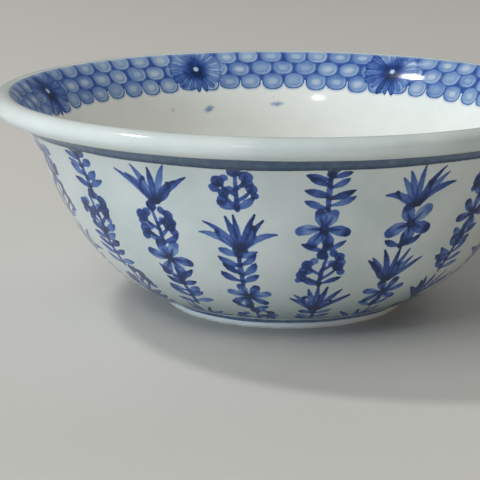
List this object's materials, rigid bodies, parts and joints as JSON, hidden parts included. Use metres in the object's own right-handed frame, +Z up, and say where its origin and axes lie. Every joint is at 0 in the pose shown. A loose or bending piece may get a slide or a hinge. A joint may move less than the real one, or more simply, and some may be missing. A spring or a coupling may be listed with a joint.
{
  "type": "porcelain serving bowl",
  "caption": "Round white porcelain bowl with a flared rolled lip and low foot ring, a blue scale-and-flower band inside the rim and upright leaf sprays outside.",
  "frame": {"origin": "centre of the circle that the foot ring stands on, on the supporting surface", "axes": "+Z up along the bowl's axis of symmetry; the first flower medallion is 27.6 degrees from +Y towards +X"},
  "size_m": [0.24, 0.24, 0.0887],
  "materials": {
    "biscuit": "unglazed fired porcelain clay",
    "clear_glaze": "glossy bluish-white feldspar glaze",
    "cobalt_wash": "glossy pale cobalt wash under glaze",
    "cobalt_blue": "glossy deep cobalt brushwork under glaze",
    "cobalt_line": "glossy slate-blue cobalt line under glaze"
  },
  "bodies": {
    "root": {"body_wall": "biscuit", "rolled_lip": "biscuit", "foot_ring": "biscuit", "outer_glaze": "clear_glaze", "plain_panels": "clear_glaze", "lip_glaze": "clear_glaze", "inner_glaze": "clear_glaze", "foot_glaze": "clear_glaze", "well_glaze": "clear_glaze", "scale_band": "cobalt_wash", "flower_medallions": "cobalt_blue", "leaf_sprays": "cobalt_blue", "lip_line": "cobalt_line", "foot_line": "cobalt_line"}
  },
  "joints": []
}
